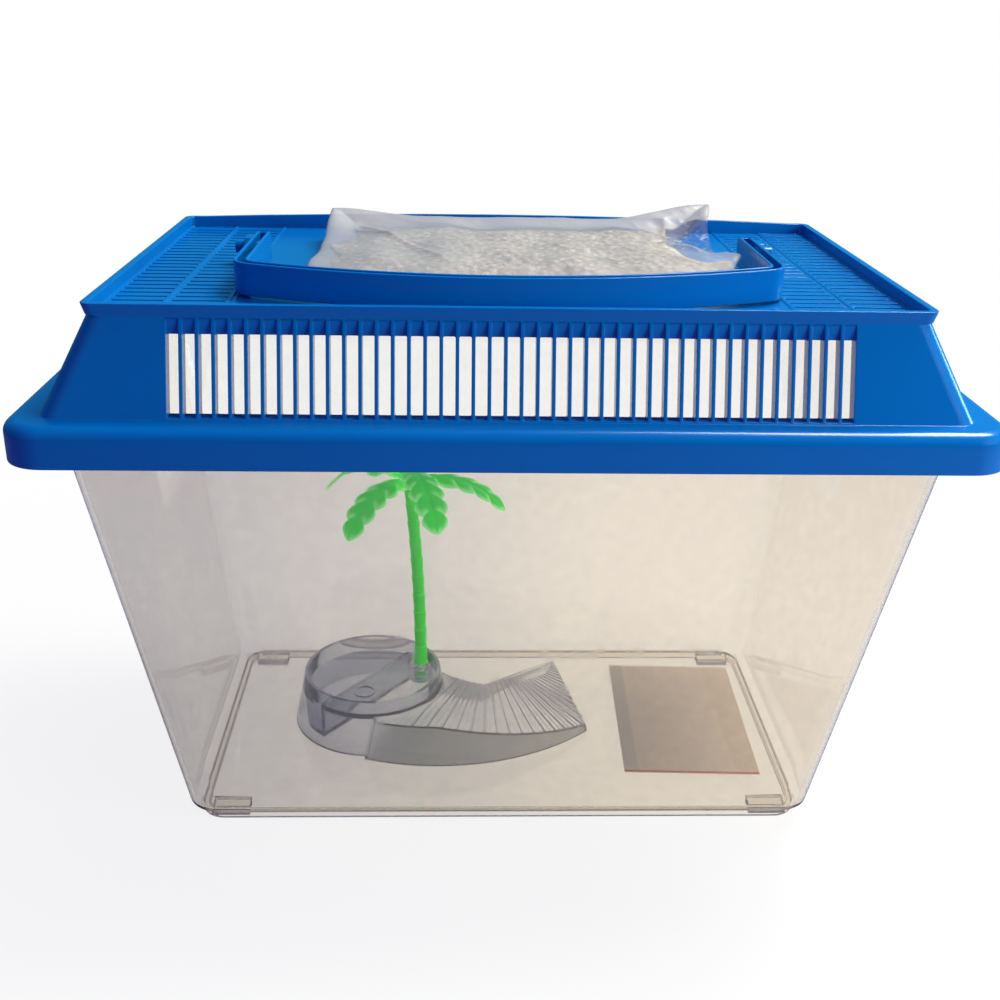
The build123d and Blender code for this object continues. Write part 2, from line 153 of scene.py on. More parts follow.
@dataclass(frozen=True)
class GlossyPolypropylene:
    """Injection-moulded polypropylene: an even strong colour under a soft gloss, with faint flow and scuffs."""

    name: str
    deep: str
    bright: str
    smooth: float = 0.2
    worn: float = 0.25
    flow_mm: float = 90.0
    peel_mm: float = 3.0
    scuff_mm: float = 1.4

    def build(self) -> bpy.types.Material:
        """Builds the finish: colour drifts with the melt's flow, fine peel breaks the gloss, scuffs dull it.

        Returns:
            The material.
        """
        material, tree, place = new_material(self.name)
        drift = {"Vector": place, "Scale": 1 / (self.flow_mm * MM), "Detail": 3.0}
        flow = add_node(tree, "TexNoise", drift).outputs["Fac"]
        tones = ((0, self.deep), (1, self.bright))
        colour = add_node(tree, "ValToRGB", {"Fac": flow}, stops=tones).outputs["Color"]
        # Hairline scuffs run along X, because hands and shelves drag that way
        drag = add_node(tree, "Mapping", {"Vector": place, "Scale": (0.12, 1.0, 1.0)})
        hairlines = {"Vector": drag.outputs["Vector"], "Scale": 1 / (self.scuff_mm * MM), "Detail": 2.0}
        scuff = add_node(tree, "TexNoise", hairlines).outputs["Fac"]
        span = {"From Min": 0.45, "From Max": 0.75, "To Min": self.smooth, "To Max": self.worn}
        gloss = add_node(tree, "MapRange", {"Value": scuff, **span}).outputs["Result"]
        # Real peel is under a millimetre, so it is drawn a few millimetres wide to show at all
        skin = {"Vector": place, "Scale": 1 / (self.peel_mm * MM), "Detail": 1.0}
        peel = add_node(tree, "TexNoise", skin).outputs["Fac"]
        bump = add_node(tree, "Bump", {"Height": peel, "Strength": 0.06, "Distance": 0.1 * MM})
        plastic = {
            "Base Color": colour,
            "Roughness": gloss,
            "Normal": bump.outputs["Normal"],
            "IOR": 1.49,
            "Specular IOR Level": 0.45,
        }
        surface = add_node(tree, "BsdfPrincipled", plastic)
        add_node(tree, "OutputMaterial", {"Surface": surface.outputs["BSDF"]})
        return material


@dataclass(frozen=True)
class ClearPolystyrene:
    """Clear injection-moulded polystyrene: glassy, faintly tinted, with haze, a slow waviness, and painted
    light and shade that run from its left end to its right.

    Light from lamps and from matt things passes straight through, so what stands inside stays lit. The pair
    clean is the heights between which the rear wall loses its tint, and the pair flat is the upward shares of
    a face's normal between which a wall becomes a floor.
    """

    name: str
    tint: str
    shade: str
    absorb: tuple[float, float, float]
    haze: float = 0.03
    haze_colour: str = "#E4E2E0"
    middle: float = 0.0
    span: float = 150.0
    drift: float = 0.4
    wave_mm: float = 60.0
    wave: float = 0.12
    wall: str = "#FFFFFF"
    clean: tuple[float, float] = (122.0, 134.0)
    flat: tuple[float, float] = (0.5, 0.8)
    rub_mm: float = 7.0
    frost_and_light: float = 0.0
    ribs: bool = False
    rib_centre: tuple[float, float] = (-4.0, 58.0)
    rib_turn: float = 2.0
    rib_bump: float = 0.2
    rib_mm: float = 0.5
    cup_centre: tuple[float, float] = (-64.0, 6.5)
    cup_radius: float = 37.0
    cup_blend: float = 7.0

    def treads(self, tree: Tree, place: Socket) -> tuple[Socket, Socket]:
        """Draws the ramp's treads: the cosine of the angle round the bay's centre, outside the cup only.

        Args:
            tree: The material's tree.
            place: The Object coordinates.

        Returns:
            The height of the treads, and 1 outside the cup and 0 inside it.
        """
        axes = add_node(tree, "SeparateXYZ", {"Vector": place}).outputs
        away = {0: axes["X"], 1: self.rib_centre[0] * MM}
        dx = add_node(tree, "Math", away, operation="SUBTRACT").outputs[0]
        back = {0: axes["Y"], 1: self.rib_centre[1] * MM}
        dy = add_node(tree, "Math", back, operation="SUBTRACT").outputs[0]
        turn = add_node(tree, "Math", {0: dy, 1: dx}, operation="ARCTAN2").outputs[0]
        pace = {0: turn, 1: 360 / self.rib_turn}
        phase = add_node(tree, "Math", pace, operation="MULTIPLY").outputs[0]
        wave = add_node(tree, "Math", {0: phase}, operation="COSINE").outputs[0]
        centre = (self.cup_centre[0] * MM, self.cup_centre[1] * MM, 0.0)
        flat = add_node(tree, "VectorMath", {0: place, 1: (1.0, 1.0, 0.0)}, operation="MULTIPLY")
        far = add_node(tree, "VectorMath", {0: flat.outputs[0], 1: centre}, operation="DISTANCE")
        rim = self.cup_radius * MM
        beyond = {"Value": far.outputs["Value"], "From Min": rim, "From Max": rim + self.cup_blend * MM}
        outside = add_node(tree, "MapRange", beyond).outputs["Result"]
        height = add_node(tree, "Math", {0: wave, 1: outside}, operation="MULTIPLY")
        return height.outputs[0], outside

    def painted_light_and_shade(self, tree: Tree, place: Socket, flow: Socket) -> Socket:
        """Blends the shade at the left into the tint at the right: painted shade and painted light along X.

        Args:
            tree: The material's tree.
            place: The Object coordinates.
            flow: The melt's flow, 0 to 1.

        Returns:
            The body's colour.
        """
        # Painted light and shade: the left end is darker and cooler and the right end lighter and warmer, as
        # room light fell on it, and the melt's flow breaks up the change
        axes = add_node(tree, "SeparateXYZ", {"Vector": place}).outputs
        low, high = (self.middle - self.span) * MM, (self.middle + self.span) * MM
        along = {"Value": axes["X"], "From Min": low, "From Max": high}
        right = add_node(tree, "MapRange", along).outputs["Result"]
        streaky = {0: flow, 1: self.drift, 2: -self.drift / 2}
        uneven = add_node(tree, "Math", streaky, operation="MULTIPLY_ADD").outputs[0]
        toned = add_node(tree, "Math", {0: right, 1: uneven}, operation="ADD").outputs[0]
        tones = ((0, self.shade), (1, self.tint))
        colour = add_node(tree, "ValToRGB", {"Fac": toned}, stops=tones).outputs["Color"]
        # The gate's end of the mould, high at the rear, comes out with no tint
        rise = {"Value": axes["Z"], "From Min": self.clean[0] * MM, "From Max": self.clean[1] * MM}
        top = add_node(tree, "MapRange", rise).outputs["Result"]
        rear = add_node(tree, "Math", {0: axes["Y"], 1: 0.0}, operation="GREATER_THAN").outputs[0]
        bare = add_node(tree, "Math", {0: top, 1: rear}, operation="MULTIPLY").outputs[0]
        return add_node(tree, "Mix", {0: bare, 6: colour, 7: grey(1.0)}, data_type="RGBA").outputs[2]

    def build(self) -> bpy.types.Material:
        """Builds the finish: glass with a slow bump, a share of dusty haze, and a clear way for lamps.

        Returns:
            The material.
        """
        material, tree, place = new_material(self.name)
        # The melt flows up the walls, so its streaks are four times as tall as they are wide
        rise = add_node(tree, "Mapping", {"Vector": place, "Scale": (1.0, 1.0, 0.25)})
        streaks = {"Vector": rise.outputs["Vector"], "Scale": 1 / (self.wave_mm * MM), "Detail": 2.0}
        flow = add_node(tree, "TexNoise", streaks).outputs["Fac"]
        wavy = {"Height": flow, "Strength": self.wave, "Distance": 1.0 * MM}
        normal = add_node(tree, "Bump", wavy).outputs["Normal"]
        facing = add_node(tree, "NewGeometry", {}).outputs["True Normal"]
        level = add_node(tree, "SeparateXYZ", {"Vector": facing}).outputs["Z"]
        steep = add_node(tree, "Math", {0: level}, operation="ABSOLUTE").outputs[0]
        low, high = self.flat
        turned = {"Value": steep, "From Min": low, "From Max": high, "To Min": 1.0, "To Max": 0.0}
        upright = add_node(tree, "MapRange", turned).outputs["Result"]
        rubs = {"Vector": place, "Scale": 1 / (self.rub_mm * MM), "Detail": 4.0}
        rubbed = add_node(tree, "TexNoise", rubs).outputs["Fac"]
        thin, thick = self.haze / 2, 1.5 * self.haze
        dusty = {"Value": rubbed, "From Min": 0.3, "From Max": 0.8, "To Min": thin, "To Max": thick}
        milky = add_node(tree, "MapRange", dusty).outputs["Result"]
        if self.ribs:
            ridges, outside = self.treads(tree, place)
            # Only faces that look up have treads. They are whiter than the walls, partly from a stippled
            # surface and partly as painted light on faces that look up
            upward = {"Value": level, "From Min": low, "From Max": high}
            upper = add_node(tree, "MapRange", upward).outputs["Result"]
            raised = add_node(tree, "Math", {0: ridges, 1: upper}, operation="MULTIPLY").outputs[0]
            relief = {"Height": raised, "Normal": normal, "Distance": self.rib_mm * MM}
            normal = add_node(tree, "Bump", {**relief, "Strength": self.rib_bump}).outputs["Normal"]
            ramp = add_node(tree, "Math", {0: upper, 1: outside}, operation="MULTIPLY").outputs[0]
            frosted_and_lit = add_node(tree, "Math", {0: ramp, 1: self.frost_and_light}, operation="MULTIPLY").outputs[0]
            milky = add_node(tree, "Math", {0: milky, 1: frosted_and_lit}, operation="ADD").outputs[0]
            upright = add_node(tree, "Math", {0: upright, 1: outside}, operation="MULTIPLY").outputs[0]
        # Upright faces are multiplied by the wall colour, a painted shade that makes walls darker than faces
        # that look up
        walled = {0: upright, 6: self.painted_light_and_shade(tree, place, flow), 7: linear(self.wall)}
        colour = add_node(tree, "Mix", walled, data_type="RGBA", blend_type="MULTIPLY").outputs[2]
        worn = {"Value": rubbed, "From Min": 0.5, "From Max": 0.8, "To Min": 0.02, "To Max": 0.12}
        clear = {
            "Base Color": colour,
            "Roughness": add_node(tree, "MapRange", worn).outputs["Result"],
            "Transmission Weight": 1.0,
            "IOR": 1.5,
            "Normal": normal,
        }
        glass = add_node(tree, "BsdfPrincipled", clear).outputs[0]
        matt = {"Base Color": linear(self.haze_colour), "Roughness": 0.6}
        dust = add_node(tree, "BsdfPrincipled", matt).outputs[0]
        hazy = add_node(tree, "MixShader", {0: milky, 1: glass, 2: dust}).outputs[0]
        path = add_node(tree, "LightPath", {}).outputs
        lights = {0: path["Is Shadow Ray"], 1: path["Is Diffuse Ray"]}
        lit = add_node(tree, "Math", lights, operation="MAXIMUM").outputs[0]
        through = add_node(tree, "BsdfTransparent", {"Color": grey(0.97)}).outputs[0]
        surface = add_node(tree, "MixShader", {0: lit, 1: hazy, 2: through}).outputs[0]
        # What is lost per metre in each channel, so that a wall seen edge-on is darker than one seen flat
        dense = max(self.absorb)
        kept = tuple(1 - loss / dense for loss in self.absorb)
        body = add_node(tree, "VolumeAbsorption", {"Color": (*kept, 1.0), "Density": dense})
        add_node(tree, "OutputMaterial", {"Surface": surface, "Volume": body.outputs[0]})
        return material


@dataclass(frozen=True)
class SoftPolyethylene:
    """Moulded low-density polyethylene: waxy, slightly see-through and satin, with a weak glow of painted
    light.
    """

    name: str
    dark: str
    light: str
    rim: str
    mottle_mm: float = 9.0
    grain_mm: float = 2.2
    depth: float = 0.3
    glow: float = 0.55

    def build(self) -> bpy.types.Material:
        """Builds the finish: two greens blended by a soft noise, paler at thin rims as a painted highlight,
        with subsurface light and a glow of painted light.

        Returns:
            The material.
        """
        material, tree, place = new_material(self.name)
        patches = {"Vector": place, "Scale": 1 / (self.mottle_mm * MM), "Detail": 3.0}
        mottle = add_node(tree, "TexNoise", patches).outputs["Fac"]
        tones = ((0, self.dark), (1, self.light))
        colour = add_node(tree, "ValToRGB", {"Fac": mottle}, stops=tones).outputs["Color"]
        # Thin rims are painted paler, a painted highlight
        thin = add_node(tree, "Attribute", {}, attribute_name="rim").outputs["Fac"]
        rimmed = {0: thin, 6: colour, 7: linear(self.rim)}
        pale = add_node(tree, "Mix", rimmed, data_type="RGBA").outputs[2]
        skin = {"Vector": place, "Scale": 1 / (self.grain_mm * MM), "Detail": 2.0}
        grain = add_node(tree, "TexNoise", skin).outputs["Fac"]
        gloss = add_node(tree, "MapRange", {"Value": grain, "To Min": 0.32, "To Max": 0.5})
        bump = add_node(tree, "Bump", {"Height": grain, "Strength": 0.25, "Distance": 0.2 * MM})
        # A weak glow is painted light: it brightens the green where the lamps leave it dim
        waxy = {
            "Base Color": pale,
            "Roughness": gloss.outputs["Result"],
            "Normal": bump.outputs["Normal"],
            "Subsurface Weight": self.depth,
            "Subsurface Radius": (0.4, 1.0, 0.3),
            "Subsurface Scale": 2.0 * MM,
            "Emission Color": pale,
            "Emission Strength": self.glow,
            "IOR": 1.5,
        }
        surface = add_node(tree, "BsdfPrincipled", waxy)
        add_node(tree, "OutputMaterial", {"Surface": surface.outputs["BSDF"]})
        return material


@dataclass(frozen=True)
class CrinkledFilm:
    """Blown polyethylene film: thin and milky where it is doubled, with sharp broken highlights.

    Each span is a pair of places in millimetres between which the look changes. body, doubled and glint are the
    shares of milk on the film, on its seal and on a wrinkle of its clear end, where the milk is a painted
    glint.
    """

    name: str
    milk: str
    body: float = 0.58
    thinned: float = 0.76
    doubled: float = 0.7
    clear: float = 0.05
    glint: float = 0.5
    fold_mm: float = 22.0
    crease_mm: float = 6.0
    milky_x: tuple[float, float] = (-60.0, 20.0)
    clear_x: tuple[float, float] = (73.0, 79.0)
    clear_y: tuple[float, float] = (-14.0, 4.0)
    flap_y: tuple[float, float] = (52.0, 46.0)
    seal_y: tuple[float, float] = (34.0, 48.0)

    def ramp(self, tree: Tree, value: Socket, span: tuple[float, float]) -> Socket:
        """Rises smoothly from 0 to 1 over a span in millimetres."""
        places = {"Value": value, "From Min": span[0] * MM, "From Max": span[1] * MM}
        return add_node(tree, "MapRange", places, interpolation_type="SMOOTHSTEP").outputs["Result"]

    def build(self) -> bpy.types.Material:
        """Builds the finish: milky film that turns clear at its empty end, with gloss that follows its creases.

        Returns:
            The material.
        """
        material, tree, place = new_material(self.name)
        wide = {"Vector": place, "Scale": 1 / (self.fold_mm * MM), "Roughness": 0.6}
        folds = add_node(tree, "TexNoise", {**wide, "Detail": 5.0, "Distortion": 0.8}).outputs["Fac"]
        fine = {"Vector": place, "Scale": 1 / (self.crease_mm * MM), "Detail": 3.0, "Distortion": 1.2}
        wrinkles = add_node(tree, "TexNoise", fine).outputs["Fac"]
        bump = add_node(tree, "Bump", {"Height": wrinkles, "Strength": 0.2, "Distance": 0.6 * MM})
        cloudy = {
            "Base Color": linear(self.milk),
            "Roughness": 0.34,
            "Specular IOR Level": 0.35,
            "Normal": bump.outputs["Normal"],
        }
        milky = add_node(tree, "BsdfPrincipled", cloudy).outputs[0]
        clear = add_node(tree, "BsdfTransparent", {"Color": grey(0.97)}).outputs[0]
        axes = add_node(tree, "SeparateXYZ", {"Vector": place}).outputs
        # The empty end is clear from its tail to just short of the rear flap
        empty = self.ramp(tree, axes["X"], self.clear_x)
        for span in (self.clear_y, self.flap_y):
            across = self.ramp(tree, axes["Y"], span)
            empty = add_node(tree, "Math", {0: empty, 1: across}, operation="MULTIPLY").outputs[0]
        # Doubled film is milkier at the left, and the clear end is milky only on its sharpest wrinkles, as a
        # painted glint
        least, most = 0.9 * self.body, 1.1 * self.body
        folded = {"Value": folds, "From Min": 0.35, "From Max": 0.7, "To Min": least, "To Max": most}
        full = add_node(tree, "MapRange", folded).outputs["Result"]
        fade = {0: self.ramp(tree, axes["X"], self.milky_x), 1: self.thinned - 1, 2: 1.0}
        fewer = add_node(tree, "Math", fade, operation="MULTIPLY_ADD").outputs[0]
        faded = add_node(tree, "Math", {0: full, 1: fewer}, operation="MULTIPLY").outputs[0]
        sealed = {0: self.ramp(tree, axes["Y"], self.seal_y), 2: faded, 3: self.doubled}
        filled = add_node(tree, "Mix", sealed).outputs[0]
        ridge = {"Value": wrinkles, "From Min": 0.56, "From Max": 0.7}
        glints = add_node(tree, "MapRange", {**ridge, "To Min": self.clear, "To Max": self.glint})
        share = add_node(tree, "Mix", {0: empty, 2: filled, 3: glints.outputs["Result"]}).outputs[0]
        surface = add_node(tree, "MixShader", {0: share, 1: clear, 2: milky})
        add_node(tree, "OutputMaterial", {"Surface": surface.outputs[0]})
        return material


@dataclass(frozen=True)
class PaleGravel:
    """Washed quartz gravel: chalky rounded grains from white to warm beige."""

    name: str
    white: str
    beige: str
    shadow: str
    grain_mm: float = 3.2

    def build(self) -> bpy.types.Material:
        """Builds the finish: one tone for each cell of a cell pattern, darker where grains meet.

        Returns:
            The material.
        """
        material, tree, place = new_material(self.name)
        cells = {"Vector": place, "Scale": 1 / (self.grain_mm * MM)}
        grains = add_node(tree, "TexVoronoi", cells).outputs
        pick = add_node(tree, "SeparateColor", {"Color": grains["Color"]}).outputs[0]
        tones = ((0, self.beige), (1, self.white))
        colour = add_node(tree, "ValToRGB", {"Fac": pick}, stops=tones).outputs["Color"]
        gaps = {"Value": grains["Distance"], "From Min": 0.35, "From Max": 0.7, "To Min": 0.0, "To Max": 0.6}
        sunk = add_node(tree, "MapRange", gaps).outputs["Result"]
        dark = {0: sunk, 6: colour, 7: linear(self.shadow)}
        shaded = add_node(tree, "Mix", dark, data_type="RGBA").outputs[2]
        relief = {"Height": grains["Distance"], "Strength": 0.8, "Distance": 1.0 * MM}
        bump = add_node(tree, "Bump", relief, invert=True).outputs["Normal"]
        chalky = {"Base Color": shaded, "Roughness": 0.75, "Normal": bump}
        surface = add_node(tree, "BsdfPrincipled", chalky)
        add_node(tree, "OutputMaterial", {"Surface": surface.outputs["BSDF"]})
        return material


@dataclass(frozen=True)
class CoatedPaper:
    """Coated sticker paper, blank: a matt cream face, a darker left band that is painted shadow, and an orange
    band along its front edge.
    """

    name: str
    face: str
    shadow_and_fibre: str
    edge: str
    centre: tuple[float, float] = (96.0, 5.0)
    size: tuple[float, float] = (66.0, 102.0)
    turn: float = -2.0
    shadow_mm: float = 7.0
    edge_mm: float = 1.4
    fibre_mm: float = 5.0

    def build(self) -> bpy.types.Material:
        """Builds the finish: strips measured from the sticker's own left and front edges over a fibrous face.

        Returns:
            The material.
        """
        material, tree, place = new_material(self.name)
        middle = (self.centre[0] * MM, self.centre[1] * MM, 0.0)
        laid = {"Vector": place, "Location": middle, "Rotation": (0.0, 0.0, math.radians(self.turn))}
        own = add_node(tree, "Mapping", laid, vector_type="TEXTURE").outputs["Vector"]
        axes = add_node(tree, "SeparateXYZ", {"Vector": own}).outputs
        pulp = {"Vector": place, "Scale": 1 / (self.fibre_mm * MM), "Detail": 6.0, "Roughness": 0.65}
        fibre = add_node(tree, "TexNoise", pulp).outputs["Fac"]
        tones = ((0, self.shadow_and_fibre), (1, self.face))
        colour = add_node(tree, "ValToRGB", {"Fac": fibre}, stops=tones).outputs["Color"]
        # The darker left band is a painted shadow, and the orange band runs along the front edge
        left, front = self.shadow_mm - self.size[0] / 2, self.edge_mm - self.size[1] / 2
        for axis, end, band_colour in ((axes["X"], left, self.shadow_and_fibre), (axes["Y"], front, self.edge)):
            inside = add_node(tree, "Math", {0: axis, 1: end * MM}, operation="LESS_THAN").outputs[0]
            banded = {0: inside, 6: colour, 7: linear(band_colour)}
            colour = add_node(tree, "Mix", banded, data_type="RGBA").outputs[2]
        bump = add_node(tree, "Bump", {"Height": fibre, "Strength": 0.15, "Distance": 0.1 * MM})
        paper = {"Base Color": colour, "Roughness": 0.55, "Normal": bump.outputs["Normal"]}
        surface = add_node(tree, "BsdfPrincipled", paper)
        add_node(tree, "OutputMaterial", {"Surface": surface.outputs["BSDF"]})
        return material


# Mesh helpers


def new_object(name: str, data: bpy.types.ID) -> bpy.types.Object:
    """Puts an object for a mesh, a lamp or a camera in the scene.

    Args:
        name: The object's name.
        data: What it shows.

    Returns:
        The object, at the origin.
    """
    made = bpy.data.objects.new(name, data)
    bpy.context.scene.collection.objects.link(made)
    return made


def new_piece(name: str, mesh: bpy.types.Mesh, material: bpy.types.Material) -> bpy.types.Object:
    """Shades a mesh smooth, gives it its finish and puts it in the scene.

    Args:
        name: The piece's name.
        mesh: Its mesh.
        material: Its finish.

    Returns:
        The piece, at the origin.
    """
    mesh.polygons.foreach_set("use_smooth", np.ones(len(mesh.polygons), dtype=bool))
    mesh.materials.append(material)
    return new_object(name, mesh)


def grid_faces(rows: int, columns: int) -> np.ndarray:
    """Numbers the corners of each four-sided face of a grid, row by row, as a (faces, 4) array."""
    start = np.arange((rows - 1) * columns).reshape(rows - 1, columns)[:, :-1].ravel()
    return np.stack([start, start + 1, start + columns + 1, start + columns], axis=1)


def grid_piece(
    name: str, grids: list[np.ndarray], material: bpy.types.Material, rims: list[np.ndarray] | None = None
) -> bpy.types.Object:
    """Makes one mesh piece from grids of points, with its seams merged and its faces turned outwards.

    Args:
        name: The piece's name.
        grids: Arrays of rows by columns by three, in millimetres. Edges that meet are merged.
        material: Its finish.
        rims: How near each point is to a thin rim, 0 to 1, for a finish that shows it.

    Returns:
        The new object, at the origin.
    """
    points, faces, first = [], [], 0
    for grid in grids:
        rows, columns = grid.shape[:2]
        points.append(grid.reshape(-1, 3))
        faces.append(grid_faces(rows, columns) + first)
        first += rows * columns
    mesh = bpy.data.meshes.new(name)
    mesh.from_pydata(np.concatenate(points) * MM, [], np.concatenate(faces))
    if rims:
        rim = mesh.attributes.new("rim", "FLOAT", "POINT")
        rim.data.foreach_set("value", np.concatenate([share.ravel() for share in rims]))
    work = bmesh.new()
    work.from_mesh(mesh)
    bmesh.ops.remove_doubles(work, verts=work.verts, dist=SEAM * MM)
    bmesh.ops.dissolve_degenerate(work, edges=work.edges, dist=SLIVER * MM)
    bmesh.ops.recalc_face_normals(work, faces=work.faces)
    work.to_mesh(mesh)
    work.free()
    return new_piece(name, mesh, material)


def edge_weights(work: bmesh.types.BMesh, sharp: float = 28.0, apart: float = 20.0) -> np.ndarray:
    """Picks the edges to round: those that are sharp, save where two sharp ones leave a corner side by side.

    Args:
        work: The closed mesh.
        sharp: Least angle between the two faces of a sharp edge, in degrees.
        apart: Least angle between two sharp edges at one corner, in degrees.

    Returns:
        One weight for each edge, 1 or 0.
    """
    work.verts.index_update()
    folds = np.degrees([edge.calc_face_angle(0.0) for edge in work.edges])
    ends = np.array([[vert.index for vert in edge.verts] for edge in work.edges])
    places = np.array([vert.co for vert in work.verts])
    picked = np.flatnonzero(folds > sharp)
    run = places[ends[picked, 1]] - places[ends[picked, 0]]
    run = (run / np.linalg.norm(run, axis=1, keepdims=True)).astype(np.float32)
    corner = np.concatenate([ends[picked, 0], ends[picked, 1]])
    out = np.concatenate([run, -run])
    beside = (corner[:, None] == corner[None, :]) & (out @ out.T > math.cos(math.radians(apart)))
    np.fill_diagonal(beside, False)
    crowded = beside.any(axis=1).reshape(2, -1).any(axis=0)
    weights = np.zeros(len(folds))
    weights[picked[~crowded]] = 1.0
    return weights


def eased_copy(
    source: bpy.types.Object, name: str, ease: Ease, material: bpy.types.Material
) -> bpy.types.Object:
    """Copies a CAD node as one merged mesh whose sharp edges are rounded by a bevel.

    Args:
        source: The CAD node.
        name: The copy's name.
        ease: How far the edges are rounded.
        material: Its finish.

    Returns:
        The copy, at the origin.
    """
    places = np.empty(len(source.data.vertices) * 3)
    source.data.vertices.foreach_get("co", places)
    corners = np.empty(len(source.data.loops), dtype=int)
    source.data.loops.foreach_get("vertex_index", corners)
    mesh = bpy.data.meshes.new(name)
    mesh.from_pydata(places.reshape(-1, 3), [], corners.reshape(-1, 3))
    work = bmesh.new()
    work.from_mesh(mesh)
    bmesh.ops.remove_doubles(work, verts=work.verts, dist=WELD * MM)
    work.to_mesh(mesh)
    weights = edge_weights(work)
    work.free()
    mesh.attributes.new("bevel_weight_edge", "FLOAT", "EDGE").data.foreach_set("value", weights)
    piece = new_piece(name, mesh, material)
    bevel = piece.modifiers.new("eased edges", "BEVEL")
    bevel.width = ease.value * MM
    bevel.segments = 2
    bevel.limit_method = "WEIGHT"
    bevel.use_clamp_overlap = False
    level = piece.modifiers.new("level faces", "WEIGHTED_NORMAL")
    level.weight = 80
    return piece


def waves(x: np.ndarray, y: np.ndarray, length: float, count: int, seed: int) -> np.ndarray:
    """Adds up count sine waves of about one length in seeded directions, scaled to about -1 to 1.

    Args:
        x: First coordinate, in millimetres.
        y: Second coordinate.
        length: The middle wavelength.
        count: How many waves.
        seed: Fixes the directions and phases.

    Returns:
        The summed height at each point.
    """
    rng = np.random.default_rng(seed)
    turns = rng.uniform(0, 2 * np.pi, count)
    lengths = length * rng.uniform(0.6, 1.6, count)
    phases = rng.uniform(0, 2 * np.pi, count)
    travel = x[..., None] * np.cos(turns) + y[..., None] * np.sin(turns)
    return np.sin(2 * np.pi * travel / lengths + phases).sum(axis=-1) / math.sqrt(count)


def creases(x: np.ndarray, y: np.ndarray, length: float, count: int, seed: int) -> np.ndarray:
    """Folds waves about zero, as one minus twice their size, which gives film its sharp ridges."""
    return 1 - 2 * np.abs(waves(x, y, length, count, seed))


def smooth_step(value: np.ndarray, low: float, high: float) -> np.ndarray:
    """Rises from 0 at low to 1 at high along the cubic 3t^2 - 2t^3."""
    t = np.clip((value - low) / (high - low), 0, 1)
    return t * t * (3 - 2 * t)


def dome(a: np.ndarray, b: np.ndarray, power: float) -> np.ndarray:
    """Is flat-topped and falls to 0 at the edges: 1 - a^8 times 1 - b^8, raised to a power."""
    return ((1 - np.abs(a) ** 8) * (1 - np.abs(b) ** 8)) ** power


# Sub-assemblies


@dataclass
class Mouldings:
    """The blue lid, handle and feeding door, the clear tank and island, and the sticker."""

    blue: GlossyPolypropylene = GlossyPolypropylene("moulded blue polypropylene", "#0064AA", "#006CB4")
    # The tank's shade at the left end and tint at the right end are painted shade and painted light
    tank: ClearPolystyrene = ClearPolystyrene(
        "clear moulded polystyrene",
        "#FFFBF5",
        "#E6E5E9",
        (27.0, 36.0, 56.0),
        middle=-50.0,
        span=110.0,
    )
    # The island's shade at the left and its darker walls are painted shade, and its whiter ramp is partly
    # painted light
    island: ClearPolystyrene = ClearPolystyrene(
        "ribbed violet polystyrene",
        "#FFFEFE",
        "#DEE1EA",
        (22.0, 21.0, 17.0),
        haze=0.07,
        middle=-30.0,
        span=60.0,
        wave_mm=25.0,
        wave=0.25,
        haze_colour="#F2EADC",
        wall="#B0B4B1",
        frost_and_light=0.12,
        ribs=True,
    )
    # The sticker's second colour tones its fibre and paints the shadow of its left band
    paper: CoatedPaper = CoatedPaper("coated sticker paper", "#FBE8D0", "#D8CEC2", "#D87840")

    def dress(self, nodes: dict[str, bpy.types.Object]) -> None:
        """Puts eased copies in place of the hard mouldings and finishes the sticker.

        Args:
            nodes: The CAD nodes by name.
        """
        blue, tank, island = self.blue.build(), self.tank.build(), self.island.build()
        plan = (
            ("lid_hood", "lid", blue, Ease.SOFT, "blue_lid"),
            ("handle", "handle", blue, Ease.SOFT, "blue_lid"),
            ("feeding_door", "door", blue, Ease.SOFT, "blue_lid"),
            ("tank_body", "tank", tank, Ease.SOFT, "clear_tank"),
            ("island", "island", island, Ease.FINE, "clear_island"),
        )
        for node, body, material, ease, slot in plan:
            piece = eased_copy(nodes[node], f"{node}_eased", ease, material)
            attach(piece, body)
            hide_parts(node)
            LOG.info("%s: %d faces before easing", piece.name, len(piece.data.polygons))
        sticker = nodes["base_label"].data
        sticker.materials.clear()
        sticker.materials.append(self.paper.build())
        LOG.info("base_label: finished as paper")


@dataclass(frozen=True)
class Leaf:
    """One palm leaf's heading in degrees, length, tip drop and level."""

    turn: float
    length: float
    droop: float
    layer: Layer


